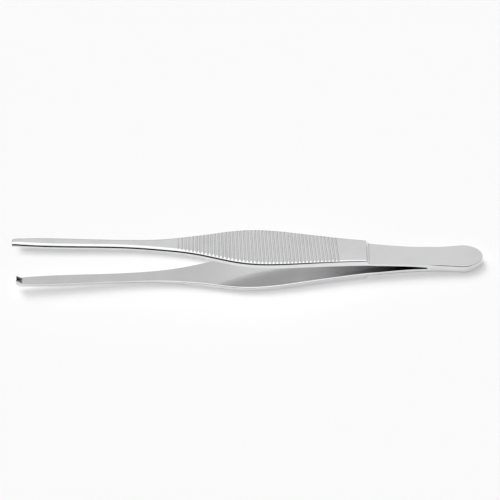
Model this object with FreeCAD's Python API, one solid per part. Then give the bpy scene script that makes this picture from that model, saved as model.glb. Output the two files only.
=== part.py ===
# Thumb forceps of the standard pattern, with one tooth that seats between two, in millimetres.
# Two matching arms of stainless steel are welded face to face at the tail and spring apart towards the tips.
# Each arm is drawn in the frame of the closed tool: x runs from the tips to the tail, z is measured from the
# plane where the arms are welded, and y is the width. The finished tool is then laid down as it comes to rest,
# on the flat of the lower grip, with the middle of its footprint at the origin.

import FreeCAD, Part
import math
import os

from FreeCAD import Matrix, Placement, Rotation, Vector

# Lengths along the tool, from the tips
length = 145.0
front_x = 27.0
neck_x = 42.2
grip_start_x = 59.3
belly_x = 70.3
rear_flank_x = 89.6
shoulder_x = 108.9
waist_x = 119.3
crotch_x = 127.7
tail_round_length = 6.5

# Openings between the two inner faces at rest
tip_gap = 17.5
neck_gap = 14.0
crotch_gap = 0.65
neck_bend_length = 24.0

# Widths of one arm
nose_width = 2.1
tip_width = 2.7
front_width = 3.5
neck_width = 4.2
front_flank_width = 9.1
grip_width = 13.8
rear_flank_width = 12.5
waist_width = 7.7
tail_width = 9.2

# Thicknesses of one arm
nose_thickness = 1.0
front_thickness = 1.5
grip_thickness = 2.15
shoulder_thickness = 2.5
spring_thickness = 0.9
tail_thickness = 1.4

# Bevels along the outer edges, and how far their middle stands out, as a share of their size
grip_bevel = 0.92
shoulder_bevel = 0.42
spring_bevel = 0.05
tail_bevel = 0.4
bevel_bulge = 0.1

# Ends and transitions
nose_length = 1.6
shoulder_radius = 1.7
tail_bend_length = 8.0

# Flutes across the finger grip, which fan out by a few degrees from the first to the last
flute_count = 41
flute_pitch = 1.134
first_flute_x = 54.45
first_flute_turn = 0.8
last_flute_turn = 5.6
flute_depth = 0.34
flute_width = 0.6
flute_floor = 0.2

# Teeth at the tips
tooth_height = 1.15
tooth_crest = 0.3
tooth_ramp = 1.65
tooth_bed_width = 2.1
centre_tooth_base = 0.9
centre_tooth_crest = 0.12
tooth_clearance = 0.06

# How far a cutting or joining tool reaches past the surface that it works on
reach = 0.5

# A bevel takes no more than this share of the side wall, or of half the outer face
bevel_limit = 0.7

# How many sections shape the cutter of a bevel, and how many points the rise to the grip
nose_section_count = 4
bevel_section_count = 24
tail_section_count = 6
rise_point_count = 6

# The bulge that makes a bevel a quarter circle
full_round = (math.sqrt(2) - 1) / 2

crotch_radius = crotch_gap / 2
crotch_start_x = crotch_x - crotch_radius
tail_x = length - tail_round_length
front_slope = (neck_gap - tip_gap) / 2 / neck_x
rear_slope = (crotch_gap - neck_gap) / 2 / (crotch_start_x - neck_x)
grip_slope = rear_slope + (shoulder_thickness - grip_thickness) / (shoulder_x - grip_start_x)
neck_bend_start_x = neck_x - neck_bend_length / 2
neck_bend_end_x = neck_x + neck_bend_length / 2
tail_bend_x = crotch_start_x + (tail_thickness - spring_thickness - crotch_radius) / rear_slope
tail_bend_start_x = tail_bend_x - tail_bend_length / 2
tail_bend_end_x = tail_bend_x + tail_bend_length / 2


def ease(x, start_x, end_x, start_value, end_value):
    """Return a value that changes smoothly from one size to another between two places."""
    share = min(max((x - start_x) / (end_x - start_x), 0.0), 1.0)
    return start_value + (end_value - start_value) * share * share * (3 - 2 * share)


def bent_line(x, bend_x, height, slope_before, slope_after, bend_length):
    """Height at x of two straight runs that meet at a long smooth bend."""
    away = abs(x - bend_x)
    straight = height + (slope_before if x < bend_x else slope_after) * (x - bend_x)
    half = bend_length / 2
    rounding = (slope_after - slope_before) * (half - away) ** 2 / (4 * half) if away < half else 0.0
    return straight + rounding


def nose_share(x):
    """How far the nose is drawn in at x: all the way at the tip, and none past its length."""
    return max(0.0, 1 - x / nose_length) ** 2


def inner_line(x):
    """Height of an arm's inner face above the weld plane, with a bend at the neck."""
    return bent_line(x, neck_x, neck_gap / 2, front_slope, rear_slope, neck_bend_length)


def thickness_at(x):
    """Thickness of the front part and the grip: it rises at the neck and a little more to the shoulder."""
    rise = ease(x, neck_x, grip_start_x, front_thickness, grip_thickness)
    share = max(0.0, (x - grip_start_x) / (shoulder_x - grip_start_x))
    nose = (front_thickness - nose_thickness) * nose_share(x)
    return rise + (shoulder_thickness - grip_thickness) * share - nose


def outer_line(x):
    """Height of the outer face of the front part and the grip."""
    return inner_line(x) + thickness_at(x)


def spring_line(x):
    """Height of the outer face of the spring, which levels out into the tail."""
    return bent_line(x, tail_bend_x, tail_thickness, rear_slope, 0.0, tail_bend_length)


def plan_curve():
    """The arm's edge in plan, one smooth curve from the tip to the widest place of the tail."""
    stations = [
        (0.0, tip_width),
        (front_x, front_width),
        (neck_x, neck_width),
        (grip_start_x, front_flank_width),
        (belly_x, grip_width),
        (rear_flank_x, rear_flank_width),
        (waist_x, waist_width),
        (tail_x, tail_width),
    ]
    curve = Part.BSplineCurve()
    curve.interpolate([Vector(x, width / 2, 0) for x, width in stations], FinalTangent=Vector(1, 0, 0))
    return curve


PLAN = plan_curve()


def plan_parameter(x):
    """Where the plan curve reaches x, found by halving the span that holds it."""
    low = PLAN.FirstParameter
    high = PLAN.LastParameter
    for _ in range(40):
        middle = (low + high) / 2
        if PLAN.value(middle).x < x:
            low = middle
        else:
            high = middle
    return low


def half_width(x):
    """Half the arm's width at x, with the nose drawn in."""
    return PLAN.value(plan_parameter(x)).y - nose_share(x) * (tip_width - nose_width) / 2


def grip_bevel_at(x):
    """Size of the rounded bevel, which narrows from the belly to the shoulder and fits a slender arm."""
    share = max(0.0, (x - belly_x) / (shoulder_x - belly_x))
    size = grip_bevel + (shoulder_bevel - grip_bevel) * share
    return min(size, bevel_limit * half_width(x), bevel_limit * thickness_at(x))


def tail_bevel_at(x):
    """Size of the rounding that grows along the weld from the spring to the tail's end."""
    return ease(x, crotch_x, tail_x, spring_bevel, tail_bevel)


def spread(start_x, end_x, count):
    """Evenly spaced places, with one at either end."""
    return [start_x + (end_x - start_x) * i / (count - 1) for i in range(count)]


def side(x, z):
    """A point in the side view, on the arm's middle plane."""
    return Vector(x, 0, z)


def plan(x, y):
    """A point in the plan view."""
    return Vector(x, y, 0)


def bend(view, line, start_x, end_x):
    """The smooth bend that a line makes between two places, as an edge in the side view or in plan."""
    middle_x = (start_x + end_x) / 2
    corner = 2 * line(middle_x) - (line(start_x) + line(end_x)) / 2
    curve = Part.BezierCurve()
    curve.setPoles([view(start_x, line(start_x)), view(middle_x, corner), view(end_x, line(end_x))])
    return curve.toShape()


def rise():
    """The outer edge in the side view where the slender front part thickens into the grip."""
    places = spread(neck_bend_start_x, grip_start_x, rise_point_count)
    curve = Part.BSplineCurve()
    curve.interpolate(
        [side(x, outer_line(x)) for x in places],
        InitialTangent=side(1, front_slope),
        FinalTangent=side(1, grip_slope),
    )
    return curve.toShape()


def shoulder():
    """The hollow step from the grip down to the spring, with its crest and its foot."""
    angle = math.atan(rear_slope)
    along = side(math.cos(angle), math.sin(angle))
    out = side(-math.sin(angle), math.cos(angle))
    drop = (shoulder_thickness - spring_thickness) * math.cos(angle)
    run = math.sqrt(shoulder_radius ** 2 - (shoulder_radius - drop) ** 2)
    crest = side(shoulder_x, outer_line(shoulder_x))
    foot = crest - out * drop + along * run
    centre = foot + out * shoulder_radius
    middle = centre + ((crest + foot) / 2 - centre).normalize() * shoulder_radius
    return crest, Part.Arc(crest, middle, foot).toShape(), foot


def side_profile():
    """The upper arm from the side, without the rounded end of the tail."""
    tip = side(0, inner_line(0))
    neck_start = side(neck_bend_start_x, inner_line(neck_bend_start_x))
    neck_end = side(neck_bend_end_x, inner_line(neck_bend_end_x))
    slot_end = side(crotch_start_x, crotch_radius)
    slot_middle = side(crotch_start_x + crotch_radius / math.sqrt(2), crotch_radius / math.sqrt(2))
    crotch = side(crotch_x, 0)
    tail_end_start = side(tail_bend_end_x, tail_thickness)
    spring_end = side(tail_bend_start_x, spring_line(tail_bend_start_x))
    crest, step, foot = shoulder()
    return Part.Wire([
        Part.makeLine(tip, neck_start),
        bend(side, inner_line, neck_bend_start_x, neck_bend_end_x),
        Part.makeLine(neck_end, slot_end),
        Part.Arc(slot_end, slot_middle, crotch).toShape(),
        Part.makeLine(crotch, side(tail_x, 0)),
        Part.makeLine(side(tail_x, 0), side(tail_x, tail_thickness)),
        Part.makeLine(side(tail_x, tail_thickness), tail_end_start),
        bend(side, spring_line, tail_bend_start_x, tail_bend_end_x),
        Part.makeLine(spring_end, foot),
        step,
        Part.makeLine(crest, side(grip_start_x, outer_line(grip_start_x))),
        rise(),
        Part.makeLine(side(neck_bend_start_x, outer_line(neck_bend_start_x)), side(nose_length, outer_line(nose_length))),
        bend(side, outer_line, 0, nose_length),
        Part.makeLine(side(0, outer_line(0)), tip),
    ])


def plan_outline():
    """The arm in plan, without the rounded end of the tail."""
    nose = bend(plan, half_width, 0, nose_length)
    edge = PLAN.toShape(plan_parameter(nose_length), PLAN.LastParameter)
    across = Vector(0, 1, 0)
    return Part.Wire([
        Part.makeLine(plan(0, -nose_width / 2), plan(0, nose_width / 2)),
        nose,
        edge,
        Part.makeLine(plan(tail_x, tail_width / 2), plan(tail_x, -tail_width / 2)),
        edge.mirror(Vector(), across),
        nose.mirror(Vector(), across),
    ])


def bevel_section(x, half, top, size, bulge):
    """Section at x of what is cut away for a bevel, past both of the faces that it joins."""
    radius = size * (1 / 2 + 2 * bulge ** 2) / (2 * math.sqrt(2) * bulge)
    inset = radius / math.sqrt(2) + (1 / 2 - bulge) * size
    y = half - inset
    z = top - inset
    slant = radius / math.sqrt(2)
    start = Vector(x, y + radius, z)
    end = Vector(x, y, z + radius)
    far = Vector(x, half + reach, top + reach)
    return Part.Wire([
        Part.Arc(start, Vector(x, y + slant, z + slant), end).toShape(),
        Part.makeLine(end, Vector(x, y, top + reach)),
        Part.makeLine(Vector(x, y, top + reach), far),
        Part.makeLine(far, Vector(x, half + reach, z)),
        Part.makeLine(Vector(x, half + reach, z), start),
    ])


def bevel_cutters(places, line, size_at, bulge):
    """The pair of solids that cut the bevels along both outer edges, through the given places."""
    sections = [bevel_section(x, half_width(x), line(x), size_at(x), bulge) for x in places]
    cutter = Part.makeLoft(sections, True, False)
    return [cutter, cutter.mirror(Vector(), Vector(0, 1, 0))]


def side_prism(points, half):
    """A solid of the given outline in the side view, as wide as the arm on both sides of its middle."""
    corners = [Vector(x, -half, z) for x, z in points]
    return Part.Face(Part.makePolygon(corners + corners[:1])).extrude(Vector(0, 2 * half, 0))


def tail_end():
    """The rounded end of the tail, half an oval in plan, with its outer rim rounded too."""
    half = tail_width / 2
    squash = Matrix()
    squash.scale(tail_round_length, half, 1.0)
    arc = Part.makeCircle(1.0, Vector(), Vector(0, 0, 1), -90, 90).transformGeometry(squash)
    arc.translate(Vector(tail_x, 0, 0))
    chord = Part.makeLine(Vector(tail_x, half, 0), Vector(tail_x, -half, 0))
    pad = Part.Face(Part.Wire([arc, chord])).extrude(Vector(0, 0, tail_thickness))
    rim = [e for e in pad.Edges if e.BoundBox.ZMin > tail_thickness / 2 and e.BoundBox.XMax > tail_x + reach]
    return pad.makeFillet(tail_bevel, rim)


def flute():
    """What one flute cuts away: a bar across the grip, with slanted flanks and a narrow floor."""
    points = [
        (-flute_floor / 2, -flute_depth),
        (flute_floor / 2, -flute_depth),
        (flute_width / 2, 0.0),
        (flute_width / 2, reach),
        (-flute_width / 2, reach),
        (-flute_width / 2, 0.0),
    ]
    return side_prism(points, grip_width)


def flutes():
    """The flutes, evenly spaced along the outer face of the grip, each turned a little more than the last."""
    tilt = Rotation(Vector(0, 1, 0), -math.degrees(math.atan(grip_slope)))
    cutters = []
    for i in range(flute_count):
        x = first_flute_x + i * flute_pitch
        turn = first_flute_turn + (last_flute_turn - first_flute_turn) * i / (flute_count - 1)
        place = Placement(side(x, outer_line(x)), tilt.multiply(Rotation(Vector(0, 0, 1), turn)))
        cutters.append(flute().transformed(place.toMatrix()))
    return cutters


def arm():
    """The upper arm without its teeth: the side view and the plan crossed, then bevelled and fluted."""
    profile = Part.Face(side_profile())
    profile.translate(Vector(0, -grip_width, 0))
    blank = profile.extrude(Vector(0, 2 * grip_width, 0))
    outline = Part.Face(plan_outline())
    outline.translate(Vector(0, 0, -reach))
    blank = blank.common(outline.extrude(Vector(0, 0, tip_gap)))
    crest, step, foot = shoulder()
    nose_places = spread(-reach, nose_length, nose_section_count)
    grip_places = spread(nose_length, foot.x + reach, bevel_section_count)
    tail_places = spread(crotch_x, tail_x, tail_section_count)
    cutters = bevel_cutters(nose_places, outer_line, grip_bevel_at, bevel_bulge)
    cutters += bevel_cutters(grip_places, outer_line, grip_bevel_at, bevel_bulge)
    cutters += bevel_cutters(tail_places, spring_line, tail_bevel_at, full_round)
    return blank.cut(cutters + flutes()).fuse(tail_end())


def tooth_bed():
    """The block at the tip that the teeth are ground from, with its ramp up from the inner face."""
    root = inner_line(0)
    return side_prism(
        [
            (0.0, root + reach),
            (0.0, root - tooth_height),
            (tooth_crest, root - tooth_height),
            (tooth_crest + tooth_ramp, inner_line(tooth_crest + tooth_ramp)),
            (tooth_crest + tooth_ramp, root + reach),
        ],
        tooth_bed_width / 2,
    )


def wedge(root_width, crest_width, root_reach, crest_reach):
    """A bar along the tip that tapers between the inner face and the teeth's crest, and may run past both."""
    root = inner_line(0)
    crest = root - tooth_height
    points = [
        (-root_width / 2, root + root_reach),
        (-root_width / 2, root),
        (-crest_width / 2, crest),
        (-crest_width / 2, crest - crest_reach),
        (crest_width / 2, crest - crest_reach),
        (crest_width / 2, crest),
        (root_width / 2, root),
        (root_width / 2, root + root_reach),
    ]
    corners = [Vector(-reach, y, z) for y, z in points]
    bar = Part.Face(Part.makePolygon(corners + corners[:1]))
    return bar.extrude(Vector(tooth_crest + tooth_ramp + 2 * reach, 0, 0))


def centre_tooth():
    """The single tooth in the middle of one tip."""
    return tooth_bed().common(wedge(centre_tooth_base, centre_tooth_crest, reach, reach))


def side_teeth():
    """The two teeth of the other tip, with the notch between them that takes the single tooth."""
    mouth = centre_tooth_base + 2 * tooth_clearance
    floor = centre_tooth_crest + 2 * tooth_clearance
    return tooth_bed().cut(wedge(floor, mouth, 0.0, reach))


def line_at(x, start_x, start_z, end_x, end_z):
    """Height at x of the straight line through two points."""
    return start_z + (end_z - start_z) * (x - start_x) / (end_x - start_x)


def resting_angle(lower, centre):
    """Slope, in degrees, of the two places below the centre of mass that the lower arm comes to rest on."""
    corners = [(v.X, v.Z) for v in lower.Vertexes]
    ahead = [c for c in corners if c[0] < centre.x]
    behind = [c for c in corners if c[0] > centre.x]
    front, rear = min(
        ((a, b) for a in ahead for b in behind),
        key=lambda pair: line_at(centre.x, *pair[0], *pair[1]),
    )
    return math.degrees(math.atan2(rear[1] - front[1], rear[0] - front[0]))


def resting_placement(upper, lower):
    """Turn the tool level on the lower grip and put the middle of its footprint at the origin."""
    whole = Part.makeCompound([upper, lower])
    turn = Placement(Vector(), Rotation(Vector(0, 1, 0), resting_angle(lower, whole.CenterOfGravity)))
    box = whole.transformed(turn.toMatrix()).optimalBoundingBox()
    move = Placement(Vector(-box.Center.x, -box.Center.y, -box.ZMin), Rotation())
    return move.multiply(turn)


def build():
    """Both arms as they lie at rest, by name."""
    half = arm()
    upper = half.fuse(centre_tooth())
    lower = half.fuse(side_teeth()).mirror(Vector(0, 0, 0), Vector(0, 0, 1))
    lie = resting_placement(upper, lower).toMatrix()
    return {"one_tooth_arm": upper.transformed(lie), "two_tooth_arm": lower.transformed(lie)}


def main():
    os.makedirs("parts", exist_ok=True)
    for name, shape in build().items():
        shape.exportStep("parts/" + name + ".step")
        print(name, "solids", len(shape.Solids), "valid", shape.isValid(), "volume", round(shape.Volume, 1))


main()
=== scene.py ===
# %% [markdown]
# Thumb forceps in satin stainless steel, lying on a white table.
# Surgical forceps are two springy arms, welded together at the tail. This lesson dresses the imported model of
# one and lights it as a product photographer would. Everything is in metres in the frame of the packed
# model: +X runs from the toothed tips to the tail, +Y goes across the arms and away from the camera, and +Z
# points up.

# %% Load the frame
import bmesh
import bpy
import math
import numpy as np
from mathutils import Matrix, Vector


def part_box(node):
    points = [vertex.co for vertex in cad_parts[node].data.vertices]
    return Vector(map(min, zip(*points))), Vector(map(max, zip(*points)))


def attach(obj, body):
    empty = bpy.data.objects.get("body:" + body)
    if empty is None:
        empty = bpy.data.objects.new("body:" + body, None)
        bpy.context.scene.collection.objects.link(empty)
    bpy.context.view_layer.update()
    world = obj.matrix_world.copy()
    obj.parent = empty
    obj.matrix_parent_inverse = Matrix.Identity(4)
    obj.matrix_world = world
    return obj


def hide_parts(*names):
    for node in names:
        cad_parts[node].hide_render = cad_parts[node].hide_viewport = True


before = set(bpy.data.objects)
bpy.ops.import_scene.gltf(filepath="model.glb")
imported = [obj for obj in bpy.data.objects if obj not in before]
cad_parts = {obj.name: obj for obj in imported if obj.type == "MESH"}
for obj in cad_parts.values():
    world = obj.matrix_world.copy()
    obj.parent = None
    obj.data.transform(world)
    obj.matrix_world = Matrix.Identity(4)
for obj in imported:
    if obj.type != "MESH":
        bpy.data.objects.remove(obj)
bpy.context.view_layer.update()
for name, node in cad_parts.items():
    print(name, [round(side, 4) for side in node.dimensions])

# %% [markdown]
# Steel, table and studio are all made of shader nodes, and most of those nodes only do sums. A small class
# wraps a socket, so that a sum of sockets can be written as plain maths and each operator adds its own Math
# node. Any other node comes from one method, which takes the node's type, its settings and what goes into its
# sockets.


# %% Sums of sockets
class Wire:
    """A socket on its way through a node tree. Its operators add Math nodes."""

    def __init__(self, tree, socket=None):
        self.tree = tree
        self.socket = socket

    def node(self, kind, settings=None, values=None):
        """Add a node, change its settings first, then fill or link its sockets by name or number."""
        made = self.tree.nodes.new(kind)
        for name, setting in (settings or {}).items():
            setattr(made, name, setting)
        for name, value in (values or {}).items():
            if isinstance(value, Wire):
                self.tree.links.new(value.socket, made.inputs[name])
            else:
                made.inputs[name].default_value = value
        return made

    def out(self, made, name=0):
        """Wrap one of a node's outputs."""
        return Wire(self.tree, made.outputs[name])

    def sum_of(self, operation, first, second):
        return self.out(self.node("ShaderNodeMath", {"operation": operation}, {0: first, 1: second}))

    def __add__(self, other):
        return self.sum_of("ADD", self, other)

    def __sub__(self, other):
        return self.sum_of("SUBTRACT", self, other)

    def __rsub__(self, other):
        return self.sum_of("SUBTRACT", other, self)

    def __mul__(self, other):
        return self.sum_of("MULTIPLY", self, other)

    __radd__ = __add__
    __rmul__ = __mul__

    def rise(self, low, high):
        """A smooth step from 0 at the low value to 1 at the high one."""
        values = {"Value": self, "From Min": low, "From Max": high}
        return self.out(self.node("ShaderNodeMapRange", {"interpolation_type": "SMOOTHSTEP"}, values))


def empty_tree(holder):
    """Give a material or a world a node tree with nothing in it yet."""
    holder.use_nodes = True
    holder.node_tree.nodes.clear()
    return Wire(holder.node_tree)


# %% [markdown]
# The photograph was taken with a long lens from a little under 50 degrees above the table, so the arms hardly
# get smaller with distance. The tool lies tilted on its lower grip but the picture shows it level, and that
# is why the camera is rolled. A camera is placed from an aim, two angles and a distance, and its axes
# are written straight into its matrix, which is exact where a tracking constraint would ignore the roll.

# %% Camera
AIM = Vector((0.00124, -0.00007, 0.01172))
CAMERA_AZIMUTH = math.radians(5.63)
CAMERA_ELEVATION = math.radians(47.76)
CAMERA_ROLL = math.radians(-7.38)
CAMERA_DISTANCE = 0.9
SENSOR_WIDTH = 36.0
LENS = 210.4
NEAR_LIMIT = 0.01


def direction(azimuth, elevation):
    """The way towards a place on the sky, its azimuth counted from the front towards the tail's side."""
    level = math.cos(elevation)
    return Vector((math.sin(azimuth) * level, -math.cos(azimuth) * level, math.sin(elevation)))


def camera_axes(azimuth, elevation, roll):
    """The camera's right, up and backward directions."""
    back = direction(azimuth, elevation)
    level = Vector((math.cos(azimuth), math.sin(azimuth), 0.0))
    steep = back.cross(level)
    right = math.cos(roll) * level + math.sin(roll) * steep
    return right, back.cross(right), back


right, up, back = camera_axes(CAMERA_AZIMUTH, CAMERA_ELEVATION, CAMERA_ROLL)
camera_data = bpy.data.cameras.new("camera")
camera_data.sensor_width = SENSOR_WIDTH
camera_data.lens = LENS
camera_data.clip_start = NEAR_LIMIT
camera = bpy.data.objects.new("camera", camera_data)
bpy.context.scene.collection.objects.link(camera)
turn = Matrix((right, up, back)).transposed().to_4x4()
camera.matrix_world = Matrix.Translation(AIM + back * CAMERA_DISTANCE) @ turn
bpy.context.scene.camera = camera
print("camera at", [round(value, 4) for value in camera.location])

# %% [markdown]
# Satin steel is ground along its length and then blasted with fine beads, so it mirrors its surroundings only
# softly. An anisotropic shader could stand for that, but here fine patterns do it, because they show up close
# too: a grain of long fine lines, a much finer speckle, and faint clouds. They stir the roughness, the bump
# and the colour a little, and none is strong enough to hide a reflection.

# %% Patterns in the steel
GRAIN_STRETCH = (0.06, 1.0, 1.0)
GRAIN_SCALE, GRAIN_DETAIL, GRAIN_ROUGH, GRAIN_HEIGHT = 9000.0, 3.0, 0.05, 0.6
SPECKLE_SCALE, SPECKLE_DETAIL, SPECKLE_ROUGH, SPECKLE_HEIGHT = 16000.0, 1.0, 0.04, 0.4
CLOUD_SCALE, CLOUD_DETAIL, CLOUD_ROUGH = 120.0, 3.0, 0.03


def noise(tree, place, scale, detail):
    """A pattern with spots of one size, and finer ones on them where detail asks for them."""
    values = {"Vector": place, "Scale": scale, "Detail": detail}
    return tree.out(tree.node("ShaderNodeTexNoise", values=values))


def steel_patterns(tree, place):
    """The grain, the speckle and the clouds."""
    stretched = tree.out(tree.node("ShaderNodeMapping", values={"Vector": place, "Scale": GRAIN_STRETCH}))
    grain = noise(tree, stretched, GRAIN_SCALE, GRAIN_DETAIL)
    speckle = noise(tree, place, SPECKLE_SCALE, SPECKLE_DETAIL)
    return grain, speckle, noise(tree, place, CLOUD_SCALE, CLOUD_DETAIL)


print("grain lines per millimetre", GRAIN_SCALE / 1000)

# %% [markdown]
# The steel isn't equally bright all over. Painted shade darkens the inner faces, a little at the front and
# most towards the weld, where the arms close in on each other, and painted shade darkens the teeth where they
# look at the other arm. Paint by hand would do, but sums do it for both arms at once: a point's height over
# the plane of the weld tells which arm it is on, and the way that its face looks tells whether that is an
# inner face. The teeth bring a mark of their own.

# %% Satin steel
STEEL = (0.76, 0.76, 0.765, 1.0)
DULL_STEEL = (0.65, 0.65, 0.66, 1.0)
CLOUD_RANGE, CLOUD_SHARE = (0.3, 0.9), 0.5
POLISH = 0.05
BUMP_STRENGTH, BUMP_DEPTH = 0.05, 0.00001
WELD_NORMAL = (0.071131, 0.0, 0.997467)
WELD_HEIGHT = 0.006858
# Painted shade: the inner faces are darkened a little at the front and much more towards the weld
INNER_FACE = (0.90, 0.97)
FRONT_END, FRONT_PAINTED_SHADE = (-0.015, 0.004), 0.16
WELD_SHADE_RISE, WELD_PAINTED_SHADE = (0.016, 0.050), 0.70
# Painted shade on the faces of the teeth that look at the other arm, carried by a mark on those faces
SHADED_TEETH_MARK, TOOTH_PAINTED_SHADE = "shaded_teeth", 0.72


def along_weld_normal(tree, vector):
    """How far a vector reaches along the normal of the weld."""
    made = tree.node("ShaderNodeVectorMath", {"operation": "DOT_PRODUCT"}, {0: vector, 1: WELD_NORMAL})
    return tree.out(made, "Value")


def painted_shade_share(tree, coordinates):
    """How much painted shade darkens the steel: some on the inner faces, more towards the weld, and most on
    the teeth.
    """
    place = tree.out(coordinates, "Object")
    along = tree.out(tree.node("ShaderNodeSeparateXYZ", values={0: place}), "X")
    height = along_weld_normal(tree, place) - WELD_HEIGHT
    side = height.sum_of("SIGN", height, 0.0)
    inward = 0.0 - side * along_weld_normal(tree, tree.out(coordinates, "Normal"))
    front = 1.0 - along.rise(*FRONT_END)
    # Painted shade on the inner faces, deepening towards the weld, and on the marked teeth
    face = inward.rise(*INNER_FACE) * (front * FRONT_PAINTED_SHADE + along.rise(*WELD_SHADE_RISE) * WELD_PAINTED_SHADE)
    # The mark on the teeth brings their painted shade
    shaded_teeth = tree.out(tree.node("ShaderNodeAttribute", {"attribute_name": SHADED_TEETH_MARK}), "Fac")
    return face + shaded_teeth * TOOTH_PAINTED_SHADE


def satin_steel(name):
    """Steel with its patterns, and painted shade on its inner faces and its teeth."""
    material = bpy.data.materials.new(name)
    tree = empty_tree(material)
    coordinates = tree.node("ShaderNodeTexCoord")
    grain, speckle, cloud = steel_patterns(tree, tree.out(coordinates, "Object"))
    rough = POLISH + grain * GRAIN_ROUGH + speckle * SPECKLE_ROUGH + cloud * CLOUD_ROUGH
    height = grain * GRAIN_HEIGHT + speckle * SPECKLE_HEIGHT
    relief = {"Strength": BUMP_STRENGTH, "Distance": BUMP_DEPTH, "Height": height}
    # In a Mix node of colours the factor is socket 0, the colours are 6 and 7, and the result is output 2
    clouded = {0: cloud.rise(*CLOUD_RANGE) * CLOUD_SHARE, 6: STEEL, 7: DULL_STEEL}
    mixed = tree.out(tree.node("ShaderNodeMix", {"data_type": "RGBA"}, clouded), 2)
    # The colour is scaled down where the shade is painted
    painted_shade_scale = 1.0 - painted_shade_share(tree, coordinates)
    colour = tree.node("ShaderNodeVectorMath", {"operation": "SCALE"}, {0: mixed, "Scale": painted_shade_scale})
    shader = tree.node(
        "ShaderNodeBsdfPrincipled",
        values={
            "Base Color": tree.out(colour),
            "Metallic": 1.0,
            "Roughness": rough,
            "Normal": tree.out(tree.node("ShaderNodeBump", values=relief)),
        },
    )
    tree.node("ShaderNodeOutputMaterial", values={"Surface": tree.out(shader)})
    return material


steel = satin_steel("satin_steel")
print("steel nodes", len(steel.node_tree.nodes))

# %% [markdown]
# Each arm is forged as a blank whose width, height and bevels all follow simple rules along its length, so it
# could be modelled as a box with many cuts, or swept along a curve. Here it is drawn as a row of cross
# sections, because a section holds every rounded edge exactly. The sizes below are in millimetres, in the
# frame of the closed tool: x runs from the tip to the tail, and z is measured from the plane of the weld.

# %% Sizes of an arm
MILLIMETRE = 0.001
LENGTH = 144.995
NECK, GRIP_START, BELLY, SHOULDER, CROTCH = 42.2, 59.3, 70.3, 108.9, 127.7
TAIL_ROUND = 6.5
TIP_GAP, NECK_GAP, CROTCH_GAP = 17.5, 14.0, 0.65
NECK_BEND, TAIL_BEND = 24.0, 8.0
TIP_WIDTH, TAIL_WIDTH = 2.7, 9.2
FRONT_THICKNESS, GRIP_THICKNESS, SHOULDER_THICKNESS = 1.49, 2.15, 2.5
SPRING_THICKNESS, TAIL_THICKNESS = 0.9, 1.4
NOSE_LENGTH, NOSE_WIDTH, NOSE_THICKNESS, NOSE_ROUND = 1.6, 2.6, 1.12, 0.12
SHOULDER_RADIUS = 1.7

# Places along the arm, each with the arm's width there
STATIONS = (
    (0.0, TIP_WIDTH),
    (27.0, 3.5),
    (NECK, 4.2),
    (GRIP_START, 9.1),
    (BELLY, 13.76),
    (89.6, 12.5),
    (119.3, 7.7),
    (138.5, TAIL_WIDTH),
)

TAIL = LENGTH - TAIL_ROUND
SLOT_RADIUS = CROTCH_GAP / 2
SLOT_END = CROTCH - SLOT_RADIUS
FRONT_SLOPE = (NECK_GAP - TIP_GAP) / 2 / NECK
REAR_SLOPE = (CROTCH_GAP - NECK_GAP) / 2 / (SLOT_END - NECK)
TAIL_BEND_PLACE = SLOT_END + (TAIL_THICKNESS - SPRING_THICKNESS - SLOT_RADIUS) / REAR_SLOPE


def ease(x, start, end, first, last):
    """A value that changes smoothly from one size to another between two places."""
    share = min(max((x - start) / (end - start), 0.0), 1.0)
    return first + (last - first) * share * share * (3 - 2 * share)


def bent_line(x, bend, height, slope_before, slope_after, length):
    """The height at x of two straight runs that meet at a long smooth bend."""
    straight = height + (slope_before if x < bend else slope_after) * (x - bend)
    short = max(0.0, length / 2 - abs(x - bend))
    return straight + (slope_after - slope_before) * short ** 2 / (2 * length)


def smooth_curve(points):
    """A smooth curve through points: a cubic whose third slope changes at all but two at either end."""
    knots = [x for x, _ in points[2:-2]]

    def terms(x):
        return [1.0, x, x ** 2, x ** 3] + [max(x - knot, 0.0) ** 3 for knot in knots]

    weights = np.linalg.solve([terms(x) for x, _ in points], [y for _, y in points])
    return lambda x: float(np.dot(weights, terms(x)))


plan_width = smooth_curve(STATIONS)
print("widest", max((round(plan_width(x), 2), x) for x in range(60, 90)))

# %% [markdown]
# The rules for the two long faces and the edge in plan come next. The inner face bends at the neck and runs
# straight to the weld. The outer one rises into the grip, drops over a hollow shoulder to the thin spring,
# and levels out at the tail.


# %% Faces and edge of an arm
def nose_share(x):
    """How much of the nose's rounding is felt at x: all at the tip, and none behind the nose."""
    return max(0.0, 1 - x / NOSE_LENGTH) ** 2


def half_width(x):
    return plan_width(x) / 2 - nose_share(x) * (TIP_WIDTH - NOSE_WIDTH) / 2


def open_line(x):
    """Height of the inner face where the arms stand apart."""
    return bent_line(x, NECK, NECK_GAP / 2, FRONT_SLOPE, REAR_SLOPE, NECK_BEND)


def inner_line(x):
    """Height of the inner face, down the round end of the slot to the weld."""
    if x >= CROTCH:
        return 0.0
    if x > SLOT_END:
        return math.sqrt(SLOT_RADIUS ** 2 - (x - SLOT_END) ** 2)
    return open_line(x)


def grip_line(x):
    """Height of the outer face from the tip to the shoulder."""
    thickness = ease(x, NECK, GRIP_START, FRONT_THICKNESS, GRIP_THICKNESS)
    share = max(0.0, (x - GRIP_START) / (SHOULDER - GRIP_START))
    nose = nose_share(x) * (FRONT_THICKNESS - NOSE_THICKNESS)
    return open_line(x) + thickness + (SHOULDER_THICKNESS - GRIP_THICKNESS) * share - nose


def spring_line(x):
    """Height of the outer face of the spring and the tail."""
    return bent_line(x, TAIL_BEND_PLACE, TAIL_THICKNESS, REAR_SLOPE, 0.0, TAIL_BEND)


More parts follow.
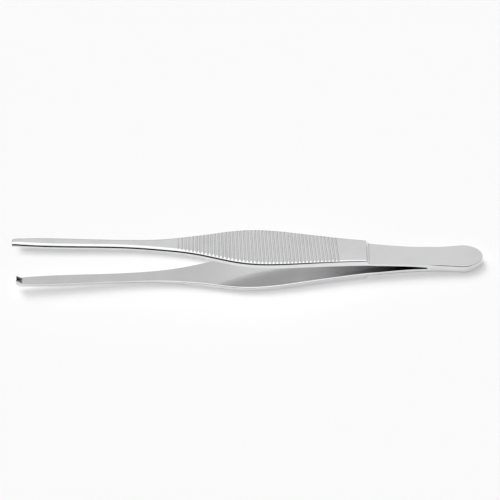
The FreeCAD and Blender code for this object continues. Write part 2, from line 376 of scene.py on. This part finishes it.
def shoulder_steps(count):
    """Places and heights down the hollow shoulder, from its crest to its foot."""
    tilt = math.atan(REAR_SLOPE)
    along = Vector((math.cos(tilt), math.sin(tilt)))
    out = Vector((-math.sin(tilt), math.cos(tilt)))
    drop = (SHOULDER_THICKNESS - SPRING_THICKNESS) * math.cos(tilt)
    steepest = math.acos(1 - drop / SHOULDER_RADIUS)
    crest = Vector((SHOULDER, grip_line(SHOULDER)))
    centre = crest + SHOULDER_RADIUS * (math.sin(steepest) * along + math.cos(steepest) * out)
    angles = [steepest * (1 - i / count) for i in range(count + 1)]
    return [centre - SHOULDER_RADIUS * (math.sin(a) * along + math.cos(a) * out) for a in angles]


print("shoulder", [tuple(round(v, 2) for v in step) for step in shoulder_steps(2)])

# %% [markdown]
# A Bevel modifier makes every bevel alike, but a grinding belt doesn't, so the sections draw their own. A
# bevel here is an arc that stands a little proud of a straight cut. The inner edges of the grip are only
# broken, with a nearly straight cut, which catches the light as a fine bright line. The bevel of the tail
# goes down twice as far as it goes in, so it shows as a fine dark line. A guard point beside each arc keeps
# the smooth shading of the arc from spreading over the flat face.

# %% Cross section
BEVEL, SHOULDER_BEVEL, SPRING_BEVEL, TAIL_BEVEL = 0.92, 0.42, 0.05, 0.5
BEVEL_LIMIT = 0.7
BEVEL_BULGE, EDGE_BULGE = 0.1, 0.03
EVEN_LEAN, TAIL_LEAN = 1.0, 0.5
TAIL_BEVEL_RUN = 4.0
FRONT_EDGE, GRIP_EDGE, SPRING_EDGE, WELD_EDGE = 0.05, 0.25, 0.1, 0.02
GRIP_EDGE_START, GRIP_EDGE_FULL = 34.0, 50.0
SPRING_EDGE_RUN, WELD_EDGE_RUN = 4.0, 5.0
GUARD = 0.03
BEVEL_STEPS, EDGE_STEPS = 10, 3


def bevel_arc(size, bulge, count):
    """How far in from both faces of a corner each point of its bevel lies, from the side to the top."""
    # The straight cut is the chord of the arc, and the bulge sets how high the arc stands over it
    radius = size * (0.5 + 2 * bulge ** 2) / (2 * math.sqrt(2) * bulge)
    inset = radius / math.sqrt(2) + (0.5 - bulge) * size
    start = math.acos(min(1.0, inset / radius))
    angles = [start + (math.pi / 2 - 2 * start) * i / count for i in range(count + 1)]
    return [(inset - radius * math.cos(a), inset - radius * math.sin(a)) for a in angles]


def section(reach, bottom, top, edge, bevel, lean):
    """Half a cross section from the inner to the outer face, as distances from the middle and heights."""
    points = [(0.0, bottom), (reach - edge - GUARD, bottom)]
    points += [(reach - out, bottom + rise) for rise, out in bevel_arc(edge, EDGE_BULGE, EDGE_STEPS)]
    points += [(reach, bottom + edge + GUARD), (reach, top - bevel - GUARD)]
    points += [(reach - lean * out, top - down) for out, down in bevel_arc(bevel, BEVEL_BULGE, BEVEL_STEPS)]
    return points + [(reach - lean * bevel - GUARD, top), (0.0, top)]


def bevel_at(x, top):
    """Depth and lean of the outer bevel, which fades down the shoulder and grows again on the tail."""
    if x >= CROTCH:
        return ease(x, CROTCH, CROTCH + TAIL_BEVEL_RUN, SPRING_BEVEL, TAIL_BEVEL), TAIL_LEAN
    share = max(0.0, (x - BELLY) / (SHOULDER - BELLY))
    size = BEVEL + (SHOULDER_BEVEL - BEVEL) * share
    size = min(size, BEVEL_LIMIT * half_width(x), BEVEL_LIMIT * (grip_line(x) - inner_line(x)))
    return max(size - (grip_line(x) - top), SPRING_BEVEL), EVEN_LEAN


def edge_at(x):
    """How much the inner edge is broken: hardly at the tips, most on the grip, and not along the weld."""
    size = ease(x, GRIP_EDGE_START, GRIP_EDGE_FULL, FRONT_EDGE, GRIP_EDGE)
    size = ease(x, SHOULDER, SHOULDER + SPRING_EDGE_RUN, size, SPRING_EDGE)
    return ease(x, CROTCH - WELD_EDGE_RUN, CROTCH, size, WELD_EDGE)


belly_section = section(half_width(BELLY), inner_line(BELLY), grip_line(BELLY), GRIP_EDGE, BEVEL, EVEN_LEAN)
print("points in half a section", len(belly_section))

# %% [markdown]
# The sections are joined into one closed skin. Along the arm they stand square to it, and round the tail's
# end they swing about its middle like the leaves of a fan, so that the rounding runs evenly round the rim.

# %% Blank of an arm
NOSE_STEP, COARSE_STEP, FINE_STEP = 0.25, 1.0, 0.5
NOSE_TURNS = (0, 30, 60)
SLOT_TURNS = (0, 15, 30, 45, 60, 75)
SHOULDER_STEPS = 12
FAN_STEPS = 28
MERGE_DISTANCE = 0.0005


def places_between(start, end, step):
    """Even places from the start on, without the end."""
    count = max(1, round((end - start) / step))
    return [start + (end - start) * i / count for i in range(count)]


def long_places():
    """Where the square sections stand, with the height of the outer face there."""
    bend_start = NECK - NECK_BEND / 2
    places = places_between(NOSE_ROUND, NOSE_LENGTH, NOSE_STEP)
    places += places_between(NOSE_LENGTH, bend_start, COARSE_STEP)
    places += places_between(bend_start, SHOULDER, FINE_STEP)
    rows = [(x, grip_line(x)) for x in places] + [tuple(step) for step in shoulder_steps(SHOULDER_STEPS)]
    rest = places_between(rows[-1][0] + GUARD, SLOT_END, COARSE_STEP)
    rest += [SLOT_END + SLOT_RADIUS * math.sin(math.radians(degrees)) for degrees in SLOT_TURNS]
    rest += places_between(CROTCH, TAIL, FINE_STEP)
    return rows + [(x, spring_line(x)) for x in rest]


def ring(x, half, ahead=0.0, across=1.0):
    """Both halves of a section as a closed ring of points, square to the arm or swung about the place x."""
    points = [Vector((x + d * ahead, d * across, z)) for d, z in half]
    return points + [Vector((x + d * ahead, -d * across, z)) for d, z in half[-2:0:-1]]


def nose_ring(degrees):
    """A section of the small rounding round the nose."""
    inset = NOSE_ROUND * (1 - math.sin(math.radians(degrees)))
    x = NOSE_ROUND * (1 - math.cos(math.radians(degrees)))
    bevel, lean = bevel_at(x, grip_line(x))
    reach = half_width(x) - inset
    half = section(reach, inner_line(x) + inset, grip_line(x) - inset, FRONT_EDGE, bevel - inset, lean)
    return ring(x, half)


def tail_ring(share):
    """A section of the tail's round end, which swings from square to the arm to straight along it."""
    angle = math.pi / 2 * (1 - share)
    ahead, across = math.cos(angle), math.sin(angle)
    reach = 1 / math.hypot(ahead / TAIL_ROUND, across / (TAIL_WIDTH / 2))
    half = section(reach, 0.0, TAIL_THICKNESS, WELD_EDGE, TAIL_BEVEL, TAIL_LEAN)
    return ring(TAIL, half, ahead, across)


def arm_rings():
    """All cross sections, from the nose to the end of the tail."""
    rings = [nose_ring(degrees) for degrees in NOSE_TURNS]
    for x, top in long_places():
        rings.append(ring(x, section(half_width(x), inner_line(x), top, edge_at(x), *bevel_at(x, top))))
    return rings + [tail_ring(i / FAN_STEPS) for i in range(FAN_STEPS + 1)]


def skin(rings):
    """One closed mesh over all rings, capped at the tip."""
    shell = bmesh.new()
    rows = [[shell.verts.new(point) for point in points] for points in rings]
    for one, two in zip(rows, rows[1:]):
        for i in range(len(one)):
            j = (i + 1) % len(one)
            shell.faces.new((one[i], one[j], two[j], two[i]))
    shell.faces.new(rows[0][::-1])
    bmesh.ops.remove_doubles(shell, verts=shell.verts, dist=MERGE_DISTANCE)
    bmesh.ops.recalc_face_normals(shell, faces=shell.faces)
    mesh = bpy.data.meshes.new("arm_blank")
    shell.to_mesh(mesh)
    shell.free()
    return mesh


blank = skin(arm_rings())
print("blank", len(blank.polygons), "faces")

# %% [markdown]
# The flutes of the grip are milled with one round cutter in straight, even steps, and that is just what
# Geometry Nodes do well: a line of points, a bar on each, and one cut. The bars fan out by a few degrees from
# the first to the last, as the photograph shows. Each size is a named input of the tree.

# %% Geometry Nodes for the flutes
ROUND_SIDES = 28
FLUTE_INPUTS = {
    "NodeSocketGeometry": ("Geometry",),
    "NodeSocketInt": ("Flutes",),
    "NodeSocketFloat": ("Pitch", "Radius", "Lift", "Bar Length", "First Turn", "Turn Step", "Sharp Angle"),
    "NodeSocketVector": ("Start", "Tilt"),
}


def flute_bars(tree, given):
    """A straight row of round bars that lie across the arm, each turned a little further than the last."""
    step = tree.node("ShaderNodeCombineXYZ", values={"X": tree.out(given, "Pitch")})
    row = {"Count": tree.out(given, "Flutes"), "Offset": tree.out(step)}
    line = tree.node("GeometryNodeMeshLine", {"mode": "OFFSET"}, row)
    length = tree.out(given, "Bar Length")
    size = {"Vertices": ROUND_SIDES, "Radius": tree.out(given, "Radius"), "Depth": length}
    bar = tree.out(tree.node("GeometryNodeMeshCylinder", values=size), "Mesh")
    lift = tree.out(tree.node("ShaderNodeCombineXYZ", values={"Z": tree.out(given, "Lift")}))
    laid = {"Geometry": bar, "Translation": lift, "Rotation": (math.pi / 2, 0.0, 0.0)}
    cutter = tree.out(tree.node("GeometryNodeTransform", values=laid))
    index = tree.out(tree.node("GeometryNodeInputIndex"))
    turn = tree.out(given, "First Turn") + index * tree.out(given, "Turn Step")
    turned = tree.out(tree.node("ShaderNodeCombineXYZ", values={"Z": turn}))
    copies = {"Points": tree.out(line), "Instance": cutter, "Rotation": turned}
    bars = tree.out(tree.node("GeometryNodeInstanceOnPoints", values=copies))
    real = tree.out(tree.node("GeometryNodeRealizeInstances", values={"Geometry": bars}))
    place = {"Geometry": real, "Translation": tree.out(given, "Start"), "Rotation": tree.out(given, "Tilt")}
    return tree.out(tree.node("GeometryNodeTransform", values=place))


def smooth_by_angle(tree, shape, limit):
    """Smooth shading that stops at the sharp edges."""
    smooth = tree.out(tree.node("GeometryNodeSetShadeSmooth", {"domain": "FACE"}, {"Geometry": shape}))
    angle = tree.out(tree.node("GeometryNodeInputMeshEdgeAngle"), "Unsigned Angle")
    soft = tree.out(tree.node("FunctionNodeCompare", {"operation": "LESS_THAN"}, {"A": angle, "B": limit}))
    edges = {"Geometry": smooth, "Shade Smooth": soft}
    return tree.out(tree.node("GeometryNodeSetShadeSmooth", {"domain": "EDGE"}, edges))


def flute_tree(material):
    """Cut a row of round flutes from the mesh that the tree is given."""
    group = bpy.data.node_groups.new("milled_flutes", "GeometryNodeTree")
    for kind, names in FLUTE_INPUTS.items():
        for name in names:
            group.interface.new_socket(name, in_out="INPUT", socket_type=kind)
    group.interface.new_socket("Geometry", in_out="OUTPUT", socket_type="NodeSocketGeometry")
    tree = Wire(group)
    given = tree.node("NodeGroupInput")
    meshes = {"Mesh 1": tree.out(given, "Geometry"), "Mesh 2": flute_bars(tree, given)}
    how = {"operation": "DIFFERENCE", "solver": "EXACT"}
    cut = tree.out(tree.node("GeometryNodeMeshBoolean", how, meshes))
    shaded = smooth_by_angle(tree, cut, tree.out(given, "Sharp Angle"))
    whole = tree.out(tree.node("GeometryNodeRealizeInstances", values={"Geometry": shaded}))
    dressed = tree.node("GeometryNodeSetMaterial", values={"Geometry": whole, "Material": material})
    tree.node("NodeGroupOutput", values={"Geometry": tree.out(dressed)})
    return group


milled_flutes = flute_tree(steel)
print("flute nodes", len(milled_flutes.nodes))

# %% [markdown]
# The tree is run once and its result is kept as a plain mesh, because both arms are cut alike. The row of
# bars is straight, while the face of the arm falls away from it towards the neck, so the first few flutes
# fade out by themselves.

# %% Flutes in the grip
FLUTES = 45
FLUTE_PITCH = 1.134
FIRST_FLUTE = 49.914
FLUTE_DEPTH = 0.34
FLUTE_RADIUS = 0.3
BAR_LENGTH = 20.0
FIRST_TURN, LAST_TURN = math.radians(0.4), math.radians(5.6)
SHARP = math.radians(25)


def flute_sizes():
    """What the tree is given: the row of bars lies on the straight part of the grip's outer face."""
    tilt = math.atan((grip_line(SHOULDER) - grip_line(GRIP_START)) / (SHOULDER - GRIP_START))
    height = grip_line(SHOULDER) + math.tan(tilt) * (FIRST_FLUTE - SHOULDER)
    return {
        "Flutes": FLUTES,
        "Pitch": FLUTE_PITCH / math.cos(tilt),
        "Radius": FLUTE_RADIUS,
        "Lift": FLUTE_RADIUS - FLUTE_DEPTH,
        "Bar Length": BAR_LENGTH,
        "First Turn": FIRST_TURN,
        "Turn Step": (LAST_TURN - FIRST_TURN) / (FLUTES - 1),
        "Sharp Angle": SHARP,
        "Start": (FIRST_FLUTE, 0.0, height),
        "Tilt": (0.0, -tilt, 0.0),
    }


def fluted(mesh, group):
    """Run the tree on a mesh and return the result as a plain mesh with weighted normals."""
    holder = bpy.data.objects.new("arm_in_work", mesh)
    bpy.context.scene.collection.objects.link(holder)
    given = flute_sizes()
    modifier = holder.modifiers.new("flutes", "NODES")
    modifier.node_group = group
    for item in group.interface.items_tree:
        if item.in_out == "INPUT" and item.name in given:
            modifier[item.identifier] = given[item.name]
    holder.modifiers.new("even_normals", "WEIGHTED_NORMAL").keep_sharp = True
    cut = holder.evaluated_get(bpy.context.evaluated_depsgraph_get())
    result = bpy.data.meshes.new_from_object(cut)
    bpy.data.objects.remove(holder)
    return result


fluted_arm = fluted(blank, milled_flutes)
print("fluted arm", len(fluted_arm.polygons), "faces")

# %% [markdown]
# The tips end in teeth that mesh when the tool closes: one in the middle of the upper tip, and two on the
# lower one with a notch between them. They could be cut from a block, but each is a small wedge that leans
# back into the arm, so it is built from three rings of corners, at its crest, on the inner face and inside
# the arm, and a fine bevel breaks its edges. Its faces that look at the other arm are marked, and painted
# shade darkens the steel there.

# %% Teeth
TOOTH_HEIGHT, TOOTH_CREST, TOOTH_RAMP = 1.15, 0.3, 1.65
TOOTH_BED_HALF = 1.05
CENTRE_BASE, CENTRE_CREST, TOOTH_CLEARANCE = 0.9, 0.12, 0.06
TOOTH_ROOT = 0.5
TOOTH_EDGE = 0.03
# Faces of a tooth that point further down than this get the mark for painted shade
SHADED_TOOTH_FACING = -0.3


def tooth(base, crest):
    """A closed wedge whose base and crest reach between two places each across the tip."""
    root = inner_line(0)
    ramp_end = TOOTH_CREST + TOOTH_RAMP
    levels = [
        (root - TOOTH_HEIGHT, TOOTH_CREST, crest),
        (root, ramp_end, base),
        (root + TOOTH_ROOT, ramp_end, base),
    ]
    shape = bmesh.new()
    rings = []
    for z, far, (left, right) in levels:
        corners = [(GUARD, left), (far, left), (far, right), (GUARD, right)]
        rings.append([shape.verts.new((x, y, z)) for x, y in corners])
    for low, high in zip(rings, rings[1:]):
        for i in range(4):
            j = (i + 1) % 4
            shape.faces.new((low[i], low[j], high[j], high[i]))
    shape.faces.new(rings[0][::-1])
    shape.faces.new(rings[-1])
    bmesh.ops.recalc_face_normals(shape, faces=shape.faces)
    bmesh.ops.bevel(shape, geom=shape.edges[:], offset=TOOTH_EDGE, segments=2, profile=0.5, affect="EDGES")
    return shape


def add_teeth(mesh, teeth):
    """Add closed teeth to a mesh, and mark their faces that look at the other arm for painted shade."""
    whole = bmesh.new()
    whole.from_mesh(mesh)
    shaded_teeth = whole.faces.layers.float.new(SHADED_TEETH_MARK)
    for shape in teeth:
        piece = bpy.data.meshes.new("tooth")
        shape.to_mesh(piece)
        first = len(whole.faces)
        whole.from_mesh(piece)
        for face in list(whole.faces)[first:]:
            # Faces that look at the other arm are marked for painted shade
            face[shaded_teeth] = 1.0 if face.normal.z < SHADED_TOOTH_FACING else 0.0
        bpy.data.meshes.remove(piece)
        shape.free()
    # The cut leaves an empty first material slot, so all faces get the first one and that becomes steel
    for face in whole.faces:
        face.material_index = 0
    whole.to_mesh(mesh)
    whole.free()
    mesh.materials.clear()
    mesh.materials.append(steel)


notch_base = CENTRE_CREST / 2 + TOOTH_CLEARANCE
notch_mouth = CENTRE_BASE / 2 + TOOTH_CLEARANCE
upper_mesh = fluted_arm
lower_mesh = fluted_arm.copy()
add_teeth(upper_mesh, [tooth((-CENTRE_BASE / 2, CENTRE_BASE / 2), (-CENTRE_CREST / 2, CENTRE_CREST / 2))])
add_teeth(lower_mesh, [
    tooth((notch_base, TOOTH_BED_HALF), (notch_mouth, TOOTH_BED_HALF)),
    tooth((-TOOTH_BED_HALF, -notch_base), (-TOOTH_BED_HALF, -notch_mouth)),
])
print("with teeth", len(upper_mesh.polygons), len(lower_mesh.polygons))

# %% [markdown]
# The lower arm is the upper one mirrored in the plane of the weld. Both are then laid down as the tool comes
# to rest, on the flat of the lower grip, by a small turn about the width and a shift. Those could be left to
# the objects, but they are put into the meshes, so that each finished mesh lies where its solid in the frame
# does, replaces it and rides as it did.

# %% Lay the arms down
REST_TURN = math.radians(4.07895)
REST_SHIFT = Vector((-72.00566, 0.0, 12.01019))
ARMS = (
    ("upper_arm", upper_mesh, "one_tooth_arm"),
    ("lower_arm", lower_mesh, "two_tooth_arm"),
)

lie = Matrix.Scale(MILLIMETRE, 4) @ Matrix.Translation(REST_SHIFT) @ Matrix.Rotation(REST_TURN, 4, "Y")
mirrored_over = Matrix.Scale(-1.0, 4, Vector((0.0, 0.0, 1.0)))
upper_mesh.transform(lie)
lower_mesh.transform(lie @ mirrored_over)
lower_mesh.flip_normals()
steel_arms = []
for name, mesh, node in ARMS:
    mesh.name = name
    arm = bpy.data.objects.new(name, mesh)
    bpy.context.scene.collection.objects.link(arm)
    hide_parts(node)
    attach(arm, "root")
    steel_arms.append(arm)
    low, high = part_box(node)
    print(name, "box", [round(v / MILLIMETRE, 2) for v in (*arm.bound_box[0], *arm.bound_box[6])])
    print(node, "box", [round(v / MILLIMETRE, 2) for v in (*low, *high)])

# %% [markdown]
# The table is a large white sheet. Lamps alone could make it white, but they would light the steel too
# brightly. So a little of its white is a faint glow of its own, which only camera, mirror and glass rays see,
# and the rest is lit, so that the forceps throws its soft shadow on it.

# %% White table
TABLE_SIZE = 3.0
TABLE_WHITE = (0.88, 0.88, 0.88, 1.0)
TABLE_GLOW = 0.03
WHITE = (1.0, 1.0, 1.0, 1.0)

bpy.ops.mesh.primitive_plane_add(size=TABLE_SIZE)
table = bpy.context.object
table.name = "table"
table_white = bpy.data.materials.new("table_white")
tree = empty_tree(table_white)
rays = tree.node("ShaderNodeLightPath")
seen = tree.out(rays, "Is Camera Ray") + tree.out(rays, "Is Glossy Ray")
seen = seen + tree.out(rays, "Is Transmission Ray")
paper = tree.node("ShaderNodeBsdfDiffuse", values={"Color": TABLE_WHITE})
glow = tree.node("ShaderNodeEmission", values={"Color": WHITE, "Strength": seen * TABLE_GLOW})
both = tree.node("ShaderNodeAddShader", values={0: tree.out(paper), 1: tree.out(glow)})
tree.node("ShaderNodeOutputMaterial", values={"Surface": tree.out(both)})
table.data.materials.append(table_white)
print("table", [round(side, 2) for side in table.dimensions])

# %% [markdown]
# Steel shows what stands around it more than its own colour. Real cards and screens could stand around it,
# but other views would show them, so they are drawn on the sky: a bright screen in front from 32 degrees up
# with a black card below it, grey wings beside the card, and an even grey screen behind. The flats look at
# the grey screen. The rounded bevels sweep from the bright one down to the card, which gives each bevel its
# white band with a black line below. Behind, on the tail's side, the grey reaches down to the table, so that
# the shoulder and the flanks of the flutes stay light. Diffuse rays meet an even, faint sky instead.

# %% Studio
DARK = 0.02
FRONT_SCREEN, FRONT_FOOT = 1.4, (0.53, 0.62)
REAR_SCREEN, REAR_FOOT = 0.83, (0.40, 0.56)
SIDE_SCREEN, SIDE_START = 0.69, (0.15, 0.5)
WING_SCREEN, WING_START = 0.5, (0.15, 0.40)
FRONT_TO_REAR = (-0.15, 0.15)
SOFT_LIGHT = 0.02

world = bpy.data.worlds.new("studio")
bpy.context.scene.world = world
tree = empty_tree(world)
sky = tree.node("ShaderNodeSeparateXYZ", values={0: tree.out(tree.node("ShaderNodeTexCoord"), "Generated")})
along = tree.out(sky, "X")
depth = tree.out(sky, "Y")
height = tree.out(sky, "Z")
behind = depth.rise(*FRONT_TO_REAR)
beside = along.rise(*SIDE_START) * behind * SIDE_SCREEN
low_front = (along * along).rise(*WING_START) * (WING_SCREEN - DARK) + DARK
front = low_front + height.rise(*FRONT_FOOT) * (FRONT_SCREEN - low_front)
rear = beside + height.rise(*REAR_FOOT) * (REAR_SCREEN - beside)
mirrored = front * (1.0 - behind) + rear * behind
diffuse = tree.out(tree.node("ShaderNodeLightPath"), "Is Diffuse Ray")
strength = mirrored * (1.0 - diffuse) + diffuse * SOFT_LIGHT
screens = tree.node("ShaderNodeBackground", values={"Color": WHITE, "Strength": strength})
tree.node("ShaderNodeOutputWorld", values={"Surface": tree.out(screens)})
print("studio nodes", len(world.node_tree.nodes))

# %% [markdown]
# Three lamps share the light on the table. One stands beside the camera and a little above it, so the shadow
# of the raised arm falls just below it in the picture. A large low one behind the tool gives the low arm its
# soft shadow in front, and a small one overhead darkens the table right under that arm. Light linking lets
# the raised arm cast no shadow from those two, because that would fall far away from it. Each lamp gives a
# share of the table's white. All stay out of the mirror rays, where the screens stand for them. The Standard
# view shows each colour about as it is written.

# %% Lamps
BESIDE_CAMERA, ABOVE_CAMERA = math.radians(0.8), math.radians(4.3)
REAR_LAMPS = math.radians(180 + 38)

# Name, share of the white, width in degrees, azimuth, elevation, and the first arm that casts a shadow
LAMPS = (
    ("camera_side", 0.42, 6.5, CAMERA_AZIMUTH - BESIDE_CAMERA, CAMERA_ELEVATION + ABOVE_CAMERA, 0),
    ("overhead", 0.11, 18.0, REAR_LAMPS, math.radians(78), 1),
    ("low_behind", 0.37, 40.0, REAR_LAMPS, math.radians(40), 1),
)

for name, share, width, azimuth, elevation, first_blocker in LAMPS:
    lamp_data = bpy.data.lights.new(name, "SUN")
    lamp_data.energy = share * math.pi / (TABLE_WHITE[0] * math.sin(elevation))
    lamp_data.angle = math.radians(width)
    lamp = bpy.data.objects.new(name, lamp_data)
    bpy.context.scene.collection.objects.link(lamp)
    lamp.rotation_euler = direction(azimuth, elevation).to_track_quat("Z", "Y").to_euler()
    lamp.visible_glossy = False
    blockers = bpy.data.collections.new(name + "_blockers")
    for arm in steel_arms[first_blocker:]:
        blockers.objects.link(arm)
    lamp.light_linking.blocker_collection = blockers
    print(name, "towards", [round(value, 3) for value in direction(azimuth, elevation)])
bpy.context.scene.view_settings.view_transform = "Standard"
